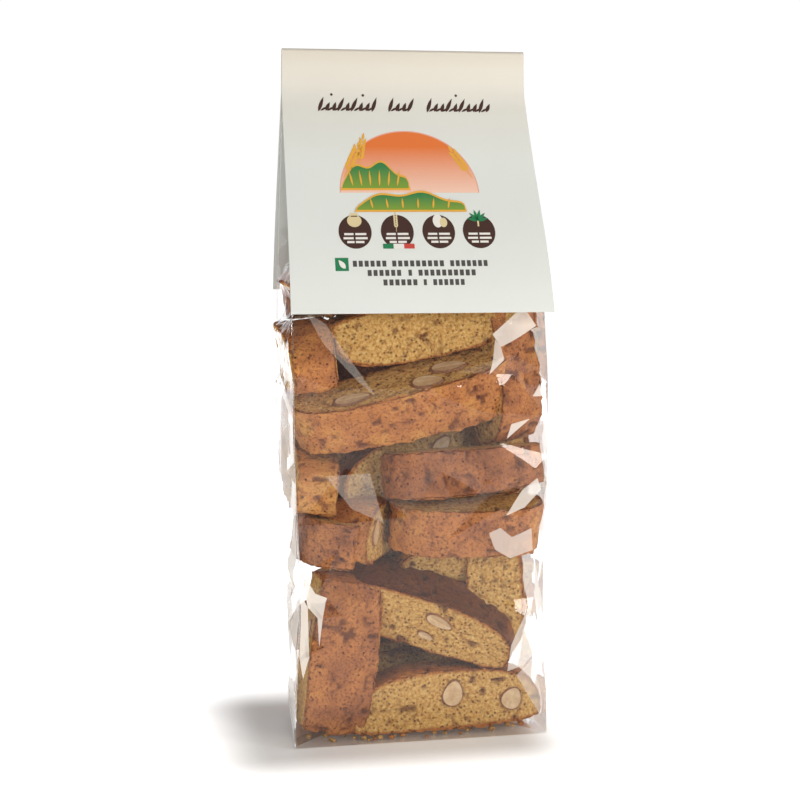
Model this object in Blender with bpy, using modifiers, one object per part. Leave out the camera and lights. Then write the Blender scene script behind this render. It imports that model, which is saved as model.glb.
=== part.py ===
"""A stand-up bag of almond biscotti: a clear film bag with side gussets and a flat block bottom, filled with
biscotti, and a folded paper header card over its sealed top.

The row frame has +Z up, the front of the bag faces -Y, and the origin is under the middle of the object.
The full bag is one solid out to its film, and the card is a thin bent sheet that straddles the seal fin.
"""

import math

import bmesh
import bpy
from mathutils import Vector

MM = 0.001

# Film bag, flat sizes
PANEL_WIDTH = 105 * MM  # front and back panel, crease to crease
FIN_WIDTH = 100.4 * MM  # the heat seal draws the film in a little
GUSSET_WIDTH = 60 * MM  # one side gusset opened out, which is the depth of the base
BAG_HEIGHT = 279 * MM  # from the floor to the end of the seal fin
FIN_HEIGHT = 16 * MM  # flat heat-sealed strip at the top
FIN_THICKNESS = 1.0 * MM

# How the filled bag stands
SHOULDER_HEIGHT = 146 * MM  # above this the panels lean in towards the seal
WAIST_HEIGHT = 62 * MM  # the panels are narrowest here, because the contents round them out
WAIST_PINCH = 2.6 * MM  # how far each crease comes in at the waist
BACK_TUCK = 4.5 * MM  # how much further in the back creases come at the base
BACK_TUCK_HEIGHT = 105 * MM
PANEL_CROWN = 2.6 * MM  # how far the contents push the middle of a panel out
LEFT_CROWN = 1.8 * MM  # and each side gusset
RIGHT_CROWN = 5.0 * MM
TOP_LEAN = 11 * MM  # the seal stands this far behind the middle of the base
BASE_FOLD = 3.0 * MM  # height of the rounded fold around the base
BASE_INSET = 2.2 * MM
NOTCH_FADE_DEPTH = 26 * MM  # the gusset notch closes up where the bag is thinner than this

# Header card
CARD_THICKNESS = 0.5 * MM
CARD_TOP_WIDTH = 101 * MM
CARD_EDGE_WIDTH = 104.5 * MM  # across the free edge of each flap
FRONT_FLAP_DROP = 104 * MM  # height of the front flap, fold to free edge
BACK_FLAP_DROP = 98 * MM
CARD_GAP = 0.3 * MM  # between the card and the film it touches
LEFT_STANDOFF = 3.5 * MM  # how far the free edge of the front flap stands off the film
RIGHT_STANDOFF = 10 * MM
BACK_STANDOFF = 4.5 * MM

# Mesh density
PANEL_STEPS = 14
GUSSET_STEPS = 8
RING_SPACING = 7 * MM
CARD_COLUMNS = 12
CARD_ROWS = 18
FOLD_STEPS = 6


def smoothstep(low, high, value):
    """0 below low, 1 above high, with a smooth rise between."""
    share = min(1.0, max(0.0, (value - low) / (high - low)))
    return share * share * (3 - 2 * share)


def half_depth(z):
    """Half the distance between the front and back panels at height z."""
    full, thin = GUSSET_WIDTH / 2, FIN_THICKNESS / 2
    fin_start = BAG_HEIGHT - FIN_HEIGHT
    if z >= fin_start:
        return thin
    if z <= SHOULDER_HEIGHT:
        return full
    share = (z - SHOULDER_HEIGHT) / (fin_start - SHOULDER_HEIGHT)
    rounded = 0.18 * share * share + 0.82 * share - 0.16 * math.sin(math.pi * share)
    return full + (thin - full) * rounded


def lean(z):
    """How far back the middle of the bag stands at height z."""
    return TOP_LEAN * smoothstep(SHOULDER_HEIGHT - 40 * MM, BAG_HEIGHT, z)


def fullness(z):
    """1 where the contents press on the film, and 0 at the base and at the seal."""
    return smoothstep(0, 28 * MM, z) * (1 - smoothstep(SHOULDER_HEIGHT, BAG_HEIGHT - 40 * MM, z))


def half_width(z, side):
    """Half the distance between the two creases of the front panel (side -1) or the back panel (side 1)."""
    spread = (z - WAIST_HEIGHT) / (0.62 * WAIST_HEIGHT)
    waist = WAIST_PINCH * math.exp(-spread * spread)
    rise = min(1.0, max(0.0, (z - WAIST_HEIGHT) / (BAG_HEIGHT - FIN_HEIGHT - WAIST_HEIGHT)))
    taper = (PANEL_WIDTH - FIN_WIDTH) / 2 * rise
    tuck = BACK_TUCK * (1 - smoothstep(0, BACK_TUCK_HEIGHT, z)) if side > 0 else 0
    return PANEL_WIDTH / 2 - waist - taper - tuck


def gusset_depth(z):
    """How far in the middle crease of a side gusset sits: the film keeps its width as the bag gets thinner."""
    depth = half_depth(z)
    folded = math.sqrt(max(0.0, (GUSSET_WIDTH / 2) ** 2 - depth**2))
    return folded * smoothstep(FIN_THICKNESS, NOTCH_FADE_DEPTH, 2 * depth)


def bag_section(z):
    """The ring of points around the bag at height z, counterclockwise from the front left crease."""
    inset = BASE_INSET * (1 - math.sin(math.pi / 2 * min(1.0, z / BASE_FOLD)))
    depth, middle = half_depth(z) - inset, lean(z)
    pinch = gusset_depth(z)
    ring = []
    for side, gusset_crown in ((-1, RIGHT_CROWN), (1, LEFT_CROWN)):
        width, next_width = half_width(z, side) - inset, half_width(z, -side) - inset
        for step in range(PANEL_STEPS):
            across = -1 + 2 * step / PANEL_STEPS
            bulge = PANEL_CROWN * fullness(z) * math.cos(across * math.pi / 2)
            ring.append((-side * across * width, side * (depth + bulge)))
        for step in range(GUSSET_STEPS):
            along = -1 + 2 * step / GUSSET_STEPS
            bulge = gusset_crown * fullness(z) * math.cos(along * math.pi / 2)
            crease = width + (next_width - width) * (1 + along) / 2
            ring.append((-side * (crease - pinch * (1 - abs(along)) + bulge), -side * along * depth))
    return [Vector((x, y + middle, z)) for x, y in ring]


def ring_heights():
    """Heights of the bag's sections: close together at the base fold and at the seal."""
    fold = [BASE_FOLD * (1 - math.cos(math.pi / 2 * step / 3)) for step in range(4)]
    fin_start = BAG_HEIGHT - FIN_HEIGHT
    count = round((fin_start - BASE_FOLD) / RING_SPACING)
    body = [BASE_FOLD + (fin_start - BASE_FOLD) * step / count for step in range(1, count + 1)]
    return fold + body + [fin_start + FIN_HEIGHT / 2, BAG_HEIGHT]


def film_front(z, side=-1):
    """The furthest that the film reaches to the front (side -1) or the back (side 1) at height z."""
    return lean(z) + side * (half_depth(z) + PANEL_CROWN * fullness(z))


def card_row(drop, flap_drop, side, left_standoff, right_standoff):
    """One row of the card on a flap: drop below the fold, as its left end and its right end."""
    z = BAG_HEIGHT + CARD_GAP - drop
    share = drop / flap_drop
    half = (CARD_TOP_WIDTH + (CARD_EDGE_WIDTH - CARD_TOP_WIDTH) * share) / 2
    against_film = film_front(min(z, BAG_HEIGHT), side) + side * CARD_GAP
    ends = []
    for x, standoff in ((-half, left_standoff), (half, right_standoff)):
        flare = standoff * smoothstep(0.1, 1.0, share) ** 1.5
        ends.append(Vector((x, against_film + side * flare, z)))
    return ends


def card_path():
    """The rows of the card's inner face, from the front flap's free edge over the fold to the back flap's."""
    front = [
        card_row(FRONT_FLAP_DROP * step / CARD_ROWS, FRONT_FLAP_DROP, -1, LEFT_STANDOFF, RIGHT_STANDOFF)
        for step in range(CARD_ROWS, -1, -1)
    ]
    back = [
        card_row(BACK_FLAP_DROP * step / CARD_ROWS, BACK_FLAP_DROP, 1, BACK_STANDOFF, BACK_STANDOFF)
        for step in range(CARD_ROWS + 1)
    ]
    radius = (back[0][0].y - front[-1][0].y) / 2
    middle = lean(BAG_HEIGHT)
    fold = []
    for step in range(1, FOLD_STEPS):
        turn = math.pi * step / FOLD_STEPS
        y = middle - radius * math.cos(turn)
        z = BAG_HEIGHT + CARD_GAP + radius * math.sin(turn)
        fold.append([Vector((side * CARD_TOP_WIDTH / 2, y, z)) for side in (-1, 1)])
    return front + fold + back


def material(name, colour, roughness, transmission=0.0):
    """A Principled BSDF material."""
    made = bpy.data.materials.new(name)
    made.use_nodes = True
    shader = made.node_tree.nodes["Principled BSDF"]
    shader.inputs["Base Color"].default_value = (*colour, 1)
    shader.inputs["Roughness"].default_value = roughness
    shader.inputs["Transmission Weight"].default_value = transmission
    return made


def object_from(name, bm, finish, collection):
    """A smooth-shaded object from a bmesh, in the given collection."""
    mesh = bpy.data.meshes.new(name)
    bm.to_mesh(mesh)
    bm.free()
    mesh.materials.append(finish)
    mesh.shade_smooth()
    mesh.set_sharp_from_angle(angle=math.radians(35))
    made = bpy.data.objects.new(name, mesh)
    collection.objects.link(made)
    return made


def bridge(bm, lower, upper):
    """Quads between two closed rings with the same number of vertices."""
    count = len(lower)
    for index in range(count):
        after = (index + 1) % count
        bm.faces.new((lower[index], lower[after], upper[after], upper[index]))


def make_bag(collection):
    """The filled bag: a loft through sections that go from a rounded rectangle to the flat seal fin."""
    bm = bmesh.new()
    rings = [[bm.verts.new(point) for point in bag_section(z)] for z in ring_heights()]
    for lower, upper in zip(rings, rings[1:]):
        bridge(bm, lower, upper)
    bm.faces.new(reversed(rings[0]))
    bm.faces.new(rings[-1])
    bmesh.ops.recalc_face_normals(bm, faces=bm.faces)
    return object_from("bag", bm, material("biscotti_in_film", (0.42, 0.22, 0.10), 0.35), collection)


def make_card(collection):
    """The header card: an open bent sheet, given its thickness by Solidify away from the film."""
    bm = bmesh.new()
    rows = []
    for left, right in card_path():
        row = [bm.verts.new(left.lerp(right, step / CARD_COLUMNS)) for step in range(CARD_COLUMNS + 1)]
        rows.append(row)
    for lower, upper in zip(rows, rows[1:]):
        for a, b, c, d in zip(lower, lower[1:], upper[1:], upper):
            bm.faces.new((a, b, c, d))
    card = object_from("header_card", bm, material("white_card", (0.80, 0.80, 0.77), 0.6), collection)
    shell = card.modifiers.new("thickness", "SOLIDIFY")
    shell.thickness = CARD_THICKNESS
    shell.offset = 1
    return card


def centre_on_base(objects):
    """Moves everything so that the origin is under the middle of the object's box."""
    graph = bpy.context.evaluated_depsgraph_get()
    corners = [
        made.matrix_world @ Vector(corner)
        for made in objects
        for corner in made.evaluated_get(graph).bound_box
    ]
    low = [min(corner[axis] for corner in corners) for axis in range(3)]
    high = [max(corner[axis] for corner in corners) for axis in range(3)]
    shift = Vector(((low[0] + high[0]) / -2, (low[1] + high[1]) / -2, -low[2]))
    for made in objects:
        made.location = shift


def main():
    for existing in list(bpy.data.objects):
        bpy.data.objects.remove(existing)
    collection = bpy.data.collections.new("bag_of_biscotti")
    bpy.context.scene.collection.children.link(collection)
    centre_on_base([make_bag(collection), make_card(collection)])


main()
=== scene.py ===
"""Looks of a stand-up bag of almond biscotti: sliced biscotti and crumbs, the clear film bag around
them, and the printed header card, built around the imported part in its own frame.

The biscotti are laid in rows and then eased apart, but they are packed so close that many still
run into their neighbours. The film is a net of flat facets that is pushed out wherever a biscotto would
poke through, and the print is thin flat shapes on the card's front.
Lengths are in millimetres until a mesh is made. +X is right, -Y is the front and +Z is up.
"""

import math

import bmesh
import bpy
import numpy as np
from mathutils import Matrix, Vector
from mathutils.bvhtree import BVHTree
from mathutils.geometry import delaunay_2d_cdt


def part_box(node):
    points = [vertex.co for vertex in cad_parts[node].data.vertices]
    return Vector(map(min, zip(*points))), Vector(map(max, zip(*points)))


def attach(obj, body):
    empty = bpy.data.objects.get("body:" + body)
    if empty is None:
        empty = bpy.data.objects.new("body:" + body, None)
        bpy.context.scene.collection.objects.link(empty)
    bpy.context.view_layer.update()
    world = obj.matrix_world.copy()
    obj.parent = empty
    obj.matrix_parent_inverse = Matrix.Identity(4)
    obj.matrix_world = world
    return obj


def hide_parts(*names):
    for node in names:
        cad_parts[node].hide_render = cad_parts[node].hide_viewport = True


MM = 0.001
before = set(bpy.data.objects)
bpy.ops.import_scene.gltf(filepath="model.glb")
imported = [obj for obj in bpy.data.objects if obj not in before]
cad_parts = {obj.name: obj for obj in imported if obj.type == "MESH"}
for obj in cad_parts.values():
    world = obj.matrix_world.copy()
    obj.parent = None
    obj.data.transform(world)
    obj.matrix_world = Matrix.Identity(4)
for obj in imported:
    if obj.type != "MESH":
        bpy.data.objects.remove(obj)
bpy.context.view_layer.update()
BAG_LOW, BAG_HIGH = (np.array(corner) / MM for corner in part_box("bag"))

# ---------------------------------------------------------------- the bag's shape

PANEL_HALF = 52.5  # half the front panel, crease to crease, at the base
FIN_HALF = 50.2
GUSSET_HALF = 30.0  # half the depth of the base
BAG_TOP = BAG_HIGH[2] - BAG_LOW[2]
FIN_HEIGHT = 16  # the flat heat-sealed strip at the top
FIN_START = BAG_TOP - FIN_HEIGHT
FIN_HALF_THICK = 0.5
SHOULDER = 146.0  # above this the panels lean in towards the seal
WAIST = 62.0  # the panels are narrowest here
WAIST_PINCH = 2.6
BACK_TUCK = 4.5  # how much further in the back creases come at the base
BACK_TUCK_HEIGHT = 105
PANEL_CROWN = 2.6  # how far the biscotti push the middle of a panel out
LEFT_CROWN, RIGHT_CROWN = 1.8, 5.0  # and each side gusset
TOP_LEAN = 11.0  # the seal stands this far behind the middle of the base
NOTCH_FADE_DEPTH = 26  # the gusset's fold closes up where the bag is thinner than this


def smoothstep(low, high, value):
    """0 below low, 1 above high, with a smooth rise between."""
    share = np.clip((value - low) / (high - low), 0, 1)
    return share * share * (3 - 2 * share)


def half_depth(z):
    """Half the distance between the front and back panels at height z."""
    share = np.clip((z - SHOULDER) / (FIN_START - SHOULDER), 0, 1)
    rounded = 0.18 * share**2 + 0.82 * share - 0.16 * np.sin(np.pi * share)
    return GUSSET_HALF + (FIN_HALF_THICK - GUSSET_HALF) * rounded


def lean(z):
    """How far back the middle of the bag stands at height z."""
    return TOP_LEAN * smoothstep(SHOULDER - 40, BAG_TOP, z)


def fullness(z):
    """1 where the biscotti press on the film, and 0 at the base and at the seal."""
    return smoothstep(0, 28, z) * (1 - smoothstep(SHOULDER, BAG_TOP - 40, z))


def half_width(z, side):
    """Half the distance between the creases of the front panel (side -1) or the back panel (side 1)."""
    waist = WAIST_PINCH * np.exp(-(((z - WAIST) / (0.62 * WAIST)) ** 2))
    taper = (PANEL_HALF - FIN_HALF) * np.clip((z - WAIST) / (FIN_START - WAIST), 0, 1)
    tuck = BACK_TUCK * (1 - smoothstep(0, BACK_TUCK_HEIGHT, z)) if side > 0 else 0
    return PANEL_HALF - waist - taper - tuck


def notch_depth(z):
    """How far in the middle crease of a side gusset is folded."""
    depth = half_depth(z)
    folded = np.sqrt(np.maximum(GUSSET_HALF**2 - depth**2, 0))
    return folded * smoothstep(2 * FIN_HALF_THICK, NOTCH_FADE_DEPTH, 2 * depth)


def panel_points(panel, across, z):
    """Points of one film panel. across runs from -1 to 1, to the right as that panel is seen from
    outside."""
    depth, middle = half_depth(z), lean(z)
    bulge = fullness(z) * np.cos(across * np.pi / 2)
    if panel in ("front", "back"):
        side = -1 if panel == "front" else 1
        x = -side * across * half_width(z, side)
        return np.stack([x, middle + side * (depth + PANEL_CROWN * bulge), z], -1)
    turn, crown = (1, RIGHT_CROWN) if panel == "right" else (-1, LEFT_CROWN)
    toward_back = (1 + turn * across) / 2
    crease = half_width(z, -1) * (1 - toward_back) + half_width(z, 1) * toward_back
    x = crease - notch_depth(z) * (1 - np.abs(across)) + crown * bulge
    return np.stack([turn * x, middle + turn * across * depth, z], -1)


OUTWARD = {"front": (0, -1, 0), "right": (1, 0, 0), "back": (0, 1, 0), "left": (-1, 0, 0)}


def frame_shift():
    """From the bag's own middle, which the shape above is drawn around, to the frame's origin."""
    across, z = np.meshgrid(np.linspace(-1, 1, 41), np.linspace(0, BAG_TOP, 120))
    shell = np.concatenate([panel_points(panel, across, z).reshape(-1, 3) for panel in OUTWARD])
    return (BAG_LOW + BAG_HIGH) / 2 - (shell.min(0) + shell.max(0)) / 2


SHIFT = frame_shift()

# ---------------------------------------------------------------- noise and meshes


def hashed(cells, seed):
    """A repeatable number from -1 to 1 for each whole-number cell."""
    key = cells.astype(np.int64) @ np.array([73856093, 19349663, 83492791]) + seed * 2654435761
    key = key.astype(np.uint64)
    key = (key ^ (key >> np.uint64(15))) * np.uint64(2246822519)
    key = (key ^ (key >> np.uint64(13))) * np.uint64(3266489917)
    return ((key ^ (key >> np.uint64(16))) & np.uint64(0xFFFFFF)).astype(float) / 0x7FFFFF - 1


def noise(points, size, seed):
    """Smooth noise from -1 to 1 with lumps of about the given size."""
    place = points / size + 100.5
    cell = np.floor(place)
    share = place - cell
    share = share * share * (3 - 2 * share)
    total = np.zeros(len(points))
    for corner in np.ndindex(2, 2, 2):
        corner = np.array(corner)
        weight = np.prod(np.where(corner, share, 1 - share), axis=1)
        total += weight * hashed(cell + corner, seed)
    return total


def mesh_object(name, points, faces, materials, smooth=True):
    """An object from points in millimetres in the bag's own frame."""
    mesh = bpy.data.meshes.new(name)
    mesh.from_pydata((np.asarray(points) * MM).tolist(), [], [list(map(int, face)) for face in faces])
    for finish in materials:
        mesh.materials.append(finish)
    if smooth:
        mesh.shade_smooth()
    made = bpy.data.objects.new(name, mesh)
    bpy.context.scene.collection.objects.link(made)
    return made


def add_values(made, name, values):
    """Stores one number for each vertex, for a material to read."""
    layer = made.data.attributes.new(name, "FLOAT", "POINT")
    layer.data.foreach_set("value", np.asarray(values, np.float32))


# ---------------------------------------------------------------- materials


def colour(code):
    """Linear RGBA from an sRGB hex code."""
    channels = [int(code[at : at + 2], 16) / 255 for at in (1, 3, 5)]
    return (*[c / 12.92 if c <= 0.04045 else ((c + 0.055) / 1.055) ** 2.4 for c in channels], 1)


def new_material(name):
    made = bpy.data.materials.new(name)
    made.use_nodes = True
    made.node_tree.nodes.clear()
    return made


def add(tree, kind, settings=None, **inputs):
    """Adds a node. An input is a value, or an output socket to link from; a_b names the socket "A B" by
    its key."""
    made = tree.nodes.new(kind)
    for key, value in (settings or {}).items():
        setattr(made, key, value)
    for key, value in inputs.items():
        socket = made.inputs[int(key[2:])] if key.startswith("in") and key[2:].isdigit() else made.inputs[
            key.replace("_", " ")
        ]
        if isinstance(value, bpy.types.NodeSocket):
            tree.links.new(value, socket)
        else:
            socket.default_value = value
    return made


def ramp(tree, value, stops):
    """A colour ramp through (position, colour or grey level) stops."""
    made = add(tree, "ShaderNodeValToRGB", Fac=value)
    elements = made.color_ramp.elements
    while len(elements) < len(stops):
        elements.new(0.5)
    for element, (position, shade) in zip(elements, stops):
        element.position = position
        element.color = colour(shade) if isinstance(shade, str) else (shade, shade, shade, 1)
    return made.outputs["Color"]


def mix(tree, share, first, second, blend="MIX"):
    """Two colours mixed by a share, each given as a value or an output socket."""
    made = add(tree, "ShaderNodeMix", {"data_type": "RGBA", "blend_type": blend})
    for socket, value in ((made.inputs[0], share), (made.inputs[6], first), (made.inputs[7], second)):
        if isinstance(value, bpy.types.NodeSocket):
            tree.links.new(value, socket)
        else:
            socket.default_value = value
    return made.outputs[2]


def baked_biscotto():
    """Twice-baked almond dough. The crust is a satin pinkish brown with pinholes, the cut crumb is matt,
    straw yellow and full of small pores, and the crust shows as a thin brown line around the cut.
    Painted shade darkens the pinholes and pores where the bump dents them, and the cracks, pocks, hollows
    and almond grooves that the mesh pushes in."""
    made = new_material("baked_biscotto")
    tree = made.node_tree
    place = add(tree, "ShaderNodeTexCoord").outputs["Object"]
    cut = add(tree, "ShaderNodeAttribute", {"attribute_name": "cut"}).outputs["Fac"]
    edge = add(tree, "ShaderNodeAttribute", {"attribute_name": "edge"}).outputs["Fac"]
    browning_and_shade = add(tree, "ShaderNodeAttribute", {"attribute_name": "browning_and_shade"}).outputs["Fac"]
    pit_shade = add(tree, "ShaderNodeAttribute", {"attribute_name": "pit_shade"}).outputs["Fac"]
    blotches = add(tree, "ShaderNodeTexNoise", Vector=place, Scale=1 / (9 * MM), Detail=4.0, Roughness=0.6)
    grains = add(tree, "ShaderNodeTexNoise", Vector=place, Scale=1 / (1.1 * MM), Detail=3.0, Roughness=0.65)
    pores = add(tree, "ShaderNodeTexVoronoi", {"feature": "F1"}, Vector=place, Scale=1 / (1.9 * MM))
    pinholes = add(tree, "ShaderNodeTexVoronoi", {"feature": "F1"}, Vector=place, Scale=1 / (3.1 * MM))
    # the stored browning darkens the crust, mostly its own toasting, and on slice_slanting also painted
    # shade
    brown = add(tree, "ShaderNodeMath", {"operation": "MULTIPLY_ADD"}, in0=blotches.outputs["Fac"], in1=0.8,
                in2=browning_and_shade)
    browns = [(0.24, "#da9e4f"), (0.40, "#ca8443"), (0.58, "#ac6937"), (0.85, "#744022")]
    crust = ramp(tree, brown.outputs[0], browns)
    speckle = ramp(tree, grains.outputs["Fac"], [(0.34, "#a87c62"), (0.5, "#ffffff")])
    crust = mix(tree, 0.8, crust, speckle, "MULTIPLY")
    # painted shade: the pinholes are darkened where the bump below dents them
    hole = ramp(tree, pinholes.outputs["Distance"], [(0.09, "#7c5440"), (0.18, "#ffffff")])
    crust = mix(tree, 0.85, crust, hole, "MULTIPLY")
    patches = ramp(tree, blotches.outputs["Color"], [(0.5, 0.0), (0.6, 1.0)])
    coarse = ramp(tree, pores.outputs["Distance"], [(0.14, "#6f4430"), (0.36, "#ffffff")])
    crust = mix(tree, patches, crust, mix(tree, 0.8, crust, coarse, "MULTIPLY"))
    crumb = ramp(tree, grains.outputs["Fac"], [(0.28, "#a06c32"), (0.45, "#cd9b52"), (0.68, "#e6c47e")])
    # painted shade: the pores are darkened where the bump below dents them
    pore = ramp(tree, pores.outputs["Distance"], [(0.12, "#8c5e40"), (0.34, "#ffffff")])
    crumb = mix(tree, 0.75, crumb, pore, "MULTIPLY")
    rim = ramp(tree, edge, [(0.0, "#a8683c"), (0.12, "#c98d55"), (0.34, "#ffffff")])
    crumb = mix(tree, 0.9, crumb, rim, "MULTIPLY")
    base = mix(tree, cut, crust, crumb)
    # painted shade: darker in the cracks, pocks, pores, hollows and almond grooves that the mesh pushes in
    painted_pit_shade = ramp(tree, pit_shade, [(0.0, "#ffffff"), (1.0, "#7a4630")])
    base = mix(tree, 1.0, base, painted_pit_shade, "MULTIPLY")
    rough = add(tree, "ShaderNodeMapRange", Value=cut, To_Min=0.5, To_Max=0.85)
    height = mix(tree, cut, hole, pore)
    fine = mix(tree, 0.5, height, grains.outputs["Color"])
    bump = add(tree, "ShaderNodeBump", Height=fine, Strength=1.0, Distance=0.9 * MM)
    shader = add(
        tree, "ShaderNodeBsdfPrincipled", Base_Color=base, Roughness=rough.outputs[0], Normal=bump.outputs[0]
    )
    shader.inputs["Specular IOR Level"].default_value = 0.35
    add(tree, "ShaderNodeOutputMaterial", Surface=shader.outputs[0])
    return made


def cut_almond():
    """The cut flesh of an almond: waxy, even cream."""
    made = new_material("cut_almond")
    tree = made.node_tree
    place = add(tree, "ShaderNodeTexCoord").outputs["Object"]
    soft = add(tree, "ShaderNodeTexNoise", Vector=place, Scale=1 / (3 * MM), Detail=3.0)
    base = ramp(tree, soft.outputs["Fac"], [(0.3, "#cda77a"), (0.7, "#e6cba2")])
    shader = add(tree, "ShaderNodeBsdfPrincipled", Base_Color=base, Roughness=0.42)
    add(tree, "ShaderNodeOutputMaterial", Surface=shader.outputs[0])
    return made


def almond_skin():
    """Baked almond skin: papery, wrinkled and red-brown."""
    made = new_material("almond_skin")
    tree = made.node_tree
    place = add(tree, "ShaderNodeTexCoord").outputs["Object"]
    wrinkles = add(tree, "ShaderNodeTexNoise", Vector=place, Scale=1 / (1.2 * MM), Detail=3.0)
    base = ramp(tree, wrinkles.outputs["Fac"], [(0.35, "#8a5638"), (0.7, "#b07a54")])
    bump = add(tree, "ShaderNodeBump", Height=wrinkles.outputs["Fac"], Strength=0.5, Distance=0.3 * MM)
    shader = add(tree, "ShaderNodeBsdfPrincipled", Base_Color=base, Roughness=0.5, Normal=bump.outputs[0])
    add(tree, "ShaderNodeOutputMaterial", Surface=shader.outputs[0])
    return made


def clear_film():
    """Clear cast polypropylene film, 30 microns thick and drawn as one surface. It is all but invisible
    seen square on, and mirrors the lights in hard-edged patches and along its folds."""
    made = new_material("clear_film")
    tree = made.node_tree
    clear = add(tree, "ShaderNodeBsdfTransparent", Color=(0.975, 0.975, 0.97, 1))
    gloss = add(tree, "ShaderNodeBsdfAnisotropic", Color=(1, 1, 1, 1), Roughness=0.03)
    haze = add(tree, "ShaderNodeBsdfDiffuse", Color=(0.92, 0.93, 0.94, 1))
    bounce = add(tree, "ShaderNodeFresnel", IOR=1.32)
    both_faces = add(tree, "ShaderNodeMath", {"operation": "MULTIPLY"}, in0=bounce.outputs[0], in1=1.6)
    capped = add(tree, "ShaderNodeMath", {"operation": "MINIMUM"}, in0=both_faces.outputs[0], in1=0.6)
    veil = add(tree, "ShaderNodeMixShader", Fac=0.01, in1=clear.outputs[0], in2=haze.outputs[0])
    surface = add(tree, "ShaderNodeMixShader", Fac=capped.outputs[0], in1=veil.outputs[0],
                  in2=gloss.outputs[0])
    add(tree, "ShaderNodeOutputMaterial", Surface=surface.outputs[0])
    return made


def creased_film():
    """Painted highlights on the film: a flat white, mixed with clear, that stands in for the soft boxes
    mirrored in it. The stored value is how bright, from clear to white."""
    made = new_material("creased_film")
    tree = made.node_tree
    highlight_share = add(tree, "ShaderNodeAttribute", {"attribute_name": "highlight_share"}).outputs["Fac"]
    clear = add(tree, "ShaderNodeBsdfTransparent", Color=(1, 1, 1, 1))
    white = add(tree, "ShaderNodeBsdfDiffuse", Color=colour("#f8f1e8"))
    surface = add(tree, "ShaderNodeMixShader", Fac=highlight_share, in1=clear.outputs[0], in2=white.outputs[0])
    add(tree, "ShaderNodeOutputMaterial", Surface=surface.outputs[0])
    return made


BISCOTTO = baked_biscotto()
ALMOND = cut_almond()
SKIN = almond_skin()
FILM = clear_film()
PAINTED_HIGHLIGHT = creased_film()

# ---------------------------------------------------------------- biscotti
#
# A biscotto is cut across a flattened loaf, so it has a flat bottom, a domed top and two cut faces. In
# its own frame X runs along its length, Y through its thickness from cut to cut, and Z up from its flat
# bottom.


class Biscotto:
    """One slice: its name, its size, where it lies, and the almonds in its two cut faces, each as its
    face (-1 or 1), x, z, length, width and tilt."""

    def __init__(self, name, size, centre, length_to, dome_to, almonds=(), browning_and_shade=0.0, fixed=0.0,
                 ends=(1.0, 1.0), belly=0.08):
        self.name = name
        self.length, self.thickness, self.height = size
        self.centre = np.array(centre, float)
        along = Vector(length_to).normalized()
        across = Vector(dome_to).cross(along).normalized()
        self.turn = np.array((along, across, along.cross(across))).T
        self.almonds = almonds
        self.browning_and_shade = browning_and_shade
        self.fixed = fixed
        self.ends = ends
        self.belly = belly
        self.seed = sum(ord(letter) * (place + 3) for place, letter in enumerate(name))

    def unevenness(self, x):
        """How thick the slice is at x, against its mean: a slight wedge, and thicker in the middle than at
        the ends."""
        wave = 0.07 * np.sin(x / self.length * 4 + self.seed)
        return 1 + wave + self.belly * (0.35 - (2 * x / self.length) ** 2)


WIDEST_AT = 0.30  # of the height: where a slice is longest, between its flat bottom and its dome


def profile(length, height, turns):
    """The outline across the loaf, from the tip on the right round over the dome: points for turns from
    0 to 1."""
    angle = 2 * np.pi * turns
    x = np.cos(angle)
    x = np.sign(x) * np.abs(x) ** 0.72 * length / 2
    rise = np.abs(np.sin(angle)) ** 0.78
    low = WIDEST_AT * height
    z = np.where(np.sin(angle) >= 0, (height - low) * rise, -low * rise**0.5)
    return np.stack([x, z - (height / 2 - low)], -1)


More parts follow.
